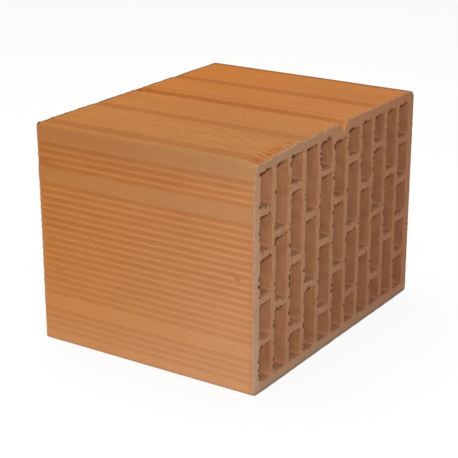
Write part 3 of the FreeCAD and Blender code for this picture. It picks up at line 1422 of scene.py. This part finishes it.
@dataclass(frozen=True)
class FiredSkin:
    """The fired orange skin that slid along the die: even, finely streaked, paler towards one corner by tone
    and painted light.
    """

    base: Colour = paint(188, 121, 66)
    deep: Colour = paint(178, 108, 54)
    dust_and_painted_light: Colour = paint(200, 146, 102)
    chalky: Colour = paint(214, 158, 114)
    shade: Colour = paint(134, 72, 30)
    dull: Colour = paint(158, 107, 66)
    ashen: Colour = paint(158, 117, 78)
    ember: Colour = paint(190, 116, 42)
    amber: Colour = paint(199, 133, 72)
    straw: Colour = paint(180, 128, 70)
    frayed: Colour = paint(162, 122, 90)
    burnt: Colour = paint(92, 60, 40)
    torn: Colour = paint(158, 82, 38)
    notch_offset: float = 0.0045

    def material(self) -> bpy.types.Material:
        """Lay colours over the base by place and grain, with painted light and shade by place and painted
        shade in the hollows.

        Returns:
            The material.
        """
        sheet = ClaySheet("fired_skin")
        x, y, z = sheet.x, sheet.y, sheet.z
        patches = sheet.grain(55.0, 3.0, (1.6, 1.0, 1.0))
        streaks = sheet.grain(2.2, 3.0, (14.0, 1.0, 1.0))
        fine = sheet.grain(1.2, 3.0)
        fringe = sheet.grain(2.4, 3.0, (1.6, 1.0, 1.0)) - 0.5
        side = y.ramp(-0.14, -0.149)
        top = z.ramp(0.207, 0.213)
        frontward = x.ramp(-0.1, 0.1)
        # Paler towards the front, the near side and the bottom: partly the clay's own tone, partly painted
        # bounce light
        bounce_light_and_tint = (x - y * 0.6 - z * 1.1).ramp(-0.22, 0.19)
        # Darker and more saturated towards the back and the far side: partly the clay's own tone, partly
        # painted shade where less light falls
        glow = (y * 0.6 - x).ramp(-0.06, 0.2)
        upper_back = side * x.ramp(0.08, -0.1) * z.ramp(0.19, 0.13)
        # Painted bounce light from the floor: the near side paler at the bottom
        foot = side * z.ramp(0.045, 0.005)
        # Painted shade: the near side's strip just under the top edge duller and darker
        shade_under_rim = z.ramp(0.185, 0.205) * y.ramp(-0.14, -0.148)
        smooth_strip = z.ramp(0.157, 0.1605) * z.ramp(0.1745, 0.1715) * y.ramp(-0.147, -0.149)
        arris = x.ramp(0.1085, 0.1165) * y.ramp(-0.145, -0.149)
        crest = z.ramp(0.2128, 0.2138) * y.ramp(-0.1425, -0.1445)
        front_rim = (x + fringe * 0.013).ramp(0.1138, 0.1166) * top
        from_notch = y - self.notch_offset
        beside_notch = (from_notch * from_notch).ramp(0.00001, 0.0001)
        back_rim = x.ramp(-0.1132, -0.1154) * z.ramp(0.2115, 0.2132) * beside_notch
        # Painted shade on the rounded far top edge
        shade_far_rim = y.ramp(0.1355, 0.1415) * z.ramp(0.2, 0.209)
        dull = sheet.mix(self.dull, self.ashen, frontward)
        colour = sheet.coat(self.base, (
            (self.deep, patches.ramp(0.42, 0.72) * 0.5),
            (self.dust_and_painted_light, bounce_light_and_tint * 0.85),
            (self.ember, glow * 0.75),
            (self.amber, upper_back * 0.55),
            (self.chalky, foot * 0.35),
            (self.straw, top * y.ramp(0.06, -0.08) * 0.35),
            (self.dust_and_painted_light, streaks.ramp(0.52, 0.8) * 0.25),
            (self.shade, streaks.ramp(0.48, 0.2) * 0.1),
            # Painted shade in the grooves, pits, comb lines and V groove; the smooth bands are darker partly
            # by their own tone and partly by painted shade
            (self.shade, sheet.value("hollow") * 0.75),
            (self.shade, fine.ramp(0.42, 0.22) * 0.25),
            (dull, shade_under_rim * (0.5 + 0.15 * frontward)),
            (dull, smooth_strip * (0.34 + 0.12 * frontward)),
            (dull, arris * 0.4),
            (self.ember, crest * (0.36 - 0.3 * frontward)),
            (self.torn, sheet.value("torn")),
            (self.frayed, front_rim * 0.85),
            (self.burnt, back_rim * 0.95),
            (self.shade, shade_far_rim * 0.8),
        ))
        return sheet.finish(colour, 0.88 + 0.1 * fine, streaks * 0.4 + fine * 0.6, 0.35, 0.6)


@dataclass(frozen=True)
class WireCutClay:
    """The dull ends: grey-brown clay dragged by the wire, paler at the near side, with painted shade at the
    mouths and edges.
    """

    base: Colour = paint(181, 135, 101)
    red: Colour = paint(174, 118, 84)
    pale: Colour = paint(170, 133, 104)
    ash: Colour = paint(187, 151, 122)
    chalky: Colour = paint(204, 172, 152)
    torn: Colour = paint(92, 42, 15)
    contact_shadow: Colour = paint(132, 120, 110)

    def material(self) -> bpy.types.Material:
        """Lay colours over the base by place and grain, with painted shade along two edges and in the torn
        mouths.

        Returns:
            The material.
        """
        sheet = ClaySheet("wire_cut_clay")
        y, z = sheet.y, sheet.z
        patches = sheet.grain(26.0, 3.0)
        drag = sheet.grain(1.6, 3.0, (1.0, 14.0, 1.0), DRAG_ANGLE)
        fine = sheet.grain(1.5, 3.0)
        blots = sheet.grain(4.0, 2.0)
        near_wall = y.ramp(-0.136, -0.143)
        top_wall = z.ramp(0.2, 0.209) * y.ramp(0.02, -0.08)
        bottom_strip = z.ramp(0.013, 0.009)
        colour = sheet.coat(self.base, (
            (self.red, y.ramp(-0.1, 0.13) * 0.9),
            (self.red, blots.ramp(0.5, 0.7) * 0.6),
            (self.pale, blots.ramp(0.48, 0.3) * 0.35),
            (self.red, patches.ramp(0.45, 0.75) * 0.5),
            (self.ash, near_wall * (0.9 - 0.4 * z.ramp(0.12, 0.2))),
            (self.chalky, near_wall * z.ramp(0.07, 0.01) * 0.5),
            (self.pale, top_wall * 0.8),
            (self.pale, drag.ramp(0.5, 0.8) * 0.4),
            (self.torn, drag.ramp(0.45, 0.2) * 0.3),
            (self.torn, fine.ramp(0.45, 0.24) * 0.5),
            (self.pale, fine.ramp(0.58, 0.75) * 0.45),
            (self.ash, bottom_strip * (0.55 - 0.2 * y.ramp(-0.1, 0.1))),
            # Painted contact shadow along the bottom edge
            (self.contact_shadow, z.ramp(0.004, 0.001) * 0.85),
            # Painted shade: a thin dark line along the far edge
            (self.torn, y.ramp(0.147, 0.149) * 0.3),
            # Painted shade in the torn mouths
            (self.torn, sheet.mouth_shade()),
        ))
        return sheet.finish(colour, 0.92, drag * 0.5 + fine * 0.5, 0.9, 0.9)


@dataclass(frozen=True)
class CoreWall:
    """The walls of the cores: red-brown clay, streaked by the die, with painted light on the floors."""

    base: Colour = paint(173, 122, 87)
    deep: Colour = paint(150, 99, 68)
    shade: Colour = paint(108, 61, 36)
    dust_and_painted_light: Colour = paint(214, 164, 130)
    torn: Colour = paint(92, 42, 15)

    def material(self) -> bpy.types.Material:
        """Lay colours over the base by place and grain, with painted light on the floors and painted shade in
        the torn mouths.

        Returns:
            The material.
        """
        sheet = ClaySheet("core_wall")
        streaks = sheet.grain(1.6, 3.0, (1.0, 1.0, 16.0))
        patches = sheet.grain(14.0, 2.0)
        fine = sheet.grain(1.2, 2.0)
        colour = sheet.coat(self.base, (
            (self.deep, streaks.ramp(0.35, 0.7) * 0.4),
            (self.deep, patches.ramp(0.4, 0.7) * 0.6),
            (self.shade, sheet.y.ramp(-0.13, 0.0) * 0.2 + sheet.y.ramp(-0.03, 0.12) * 0.1),
            # Painted light: the floors paler
            (self.dust_and_painted_light, sheet.value("floor") * 0.25),
            # Painted shade in the torn mouths
            (self.torn, sheet.mouth_shade()),
        ))
        return sheet.finish(colour, 0.9, streaks * 0.7 + fine * 0.3, 0.6, 0.7)


@dataclass(frozen=True)
class PaleFloor:
    """The floor: matte, nearly white where it is seen, and still shaded by the block."""

    base: Colour = (0.8, 0.8, 0.8)
    glow_strength: float = 1.05
    seen_share: float = 0.84

    def material(self) -> bpy.types.Material:
        """Blend a glow into a matte surface where the floor itself is seen.

        Returns:
            The material.
        """
        material = bpy.data.materials.new("pale_floor")
        sheet = NodeSheet(material, "ShaderNodeOutputMaterial")
        matte = {"Base Color": self.base, "Roughness": 1.0, "Specular IOR Level": 0.0}
        surface = sheet.node("ShaderNodeBsdfPrincipled", {}, matte)
        glow = sheet.node("ShaderNodeEmission", {}, {"Color": WHITE, "Strength": self.glow_strength})
        sheet.show(surface, glow, sheet.seen() * self.seen_share)
        return material


@dataclass(frozen=True)
class Lamp:
    """A soft square lamp: its name, its place and size in metres, and its power in watts."""

    name: str
    place: tuple[float, float, float]
    size: float
    power: float


@dataclass(frozen=True)
class Studio:
    """A pale floor, soft lamps, a plain sky and a camera at the photograph's viewing angle.

    Angles are in degrees, and the focal length and the frame's width in pixels. The camera stands off from
    the foot of the edge between the near side and the front end, and its distances from there are in metres.
    """

    section: Section
    azimuth: float = 33.0
    elevation: float = 19.6
    focal: float = 1356.8
    frame_width: float = 458.0
    sensor: float = 36.0
    clip_start: float = 0.05
    right: float = -0.021371
    away: float = 1.065325
    above: float = 0.53621
    floor_size: float = 8.0
    sky_colour: Colour = (1.0, 0.99, 0.97)
    sky_strength: float = 0.25
    lamp_colour: Colour = (1.0, 0.98, 0.95)
    lamps: tuple[Lamp, ...] = (
        Lamp("key_lamp", (1.08, -1.71, 0.98), 0.18, 29.4),
        Lamp("top_lamp", (-0.5, 0.25, 1.9), 1.6, 25.6),
    )

    def camera(self) -> None:
        """Place the camera."""
        turn = math.radians(self.azimuth)
        right = Vector((math.cos(turn), math.sin(turn), 0.0))
        ahead = Vector((-math.sin(turn), math.cos(turn), 0.0))
        foot = Vector((self.section.length / 2, self.section.near_y, 0.0)) * MM
        data = bpy.data.cameras.new("camera")
        data.lens = self.focal / self.frame_width * self.sensor
        data.sensor_width = self.sensor
        data.clip_start = self.clip_start
        camera = add_object("camera", data)
        camera.location = foot + right * self.right - ahead * self.away + Vector((0.0, 0.0, self.above))
        camera.rotation_euler = (math.radians(90.0 - self.elevation), 0.0, turn)
        bpy.context.scene.camera = camera

    def floor(self) -> None:
        """Lay the floor under the block."""
        half = self.floor_size / 2
        mesh = bpy.data.meshes.new("floor")
        corners = [(x * half, y * half, 0.0) for x, y in ((-1, -1), (1, -1), (1, 1), (-1, 1))]
        mesh.from_pydata(corners, [], [(0, 1, 2, 3)])
        floor = add_object("floor", mesh)
        mesh.materials.append(PaleFloor().material())

    def sky(self) -> None:
        """Fill the world: white where it is seen, a soft grey where it lights the block."""
        world = bpy.data.worlds.new("studio")
        sheet = NodeSheet(world, "ShaderNodeOutputWorld")
        soft = {"Color": self.sky_colour, "Strength": self.sky_strength}
        light = sheet.node("ShaderNodeBackground", {}, soft)
        backdrop = sheet.node("ShaderNodeBackground", {}, {"Color": WHITE, "Strength": 1.0})
        sheet.show(light, backdrop, sheet.seen())
        bpy.context.scene.world = world

    def hang(self, lamp: Lamp) -> None:
        """Hang one lamp that faces the middle of the block.

        Args:
            lamp: The lamp.
        """
        data = bpy.data.lights.new(lamp.name, "AREA")
        data.size = lamp.size
        data.energy = lamp.power
        data.color = self.lamp_colour
        hung = add_object(lamp.name, data)
        hung.location = lamp.place
        aim = Vector((0.0, 0.0, self.section.height * MM / 2)) - Vector(lamp.place)
        hung.rotation_euler = aim.to_track_quat("-Z", "Y").to_euler()

    def build(self) -> None:
        """Set up the whole studio."""
        self.camera()
        self.floor()
        self.sky()
        for lamp in self.lamps:
            self.hang(lamp)
        bpy.context.scene.view_settings.view_transform = "Standard"
        LOG.info("studio: camera at %.2f by %.2f degrees", self.azimuth, self.elevation)


def main() -> None:
    """Build the studio and the block."""
    logging.basicConfig(level=logging.INFO, format="%(name)s: %(message)s")
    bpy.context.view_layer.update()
    section = Section.of_node(NODE)
    Studio(section).build()
    ClayBlock(section).build()


if __name__ == "__main__":
    main()
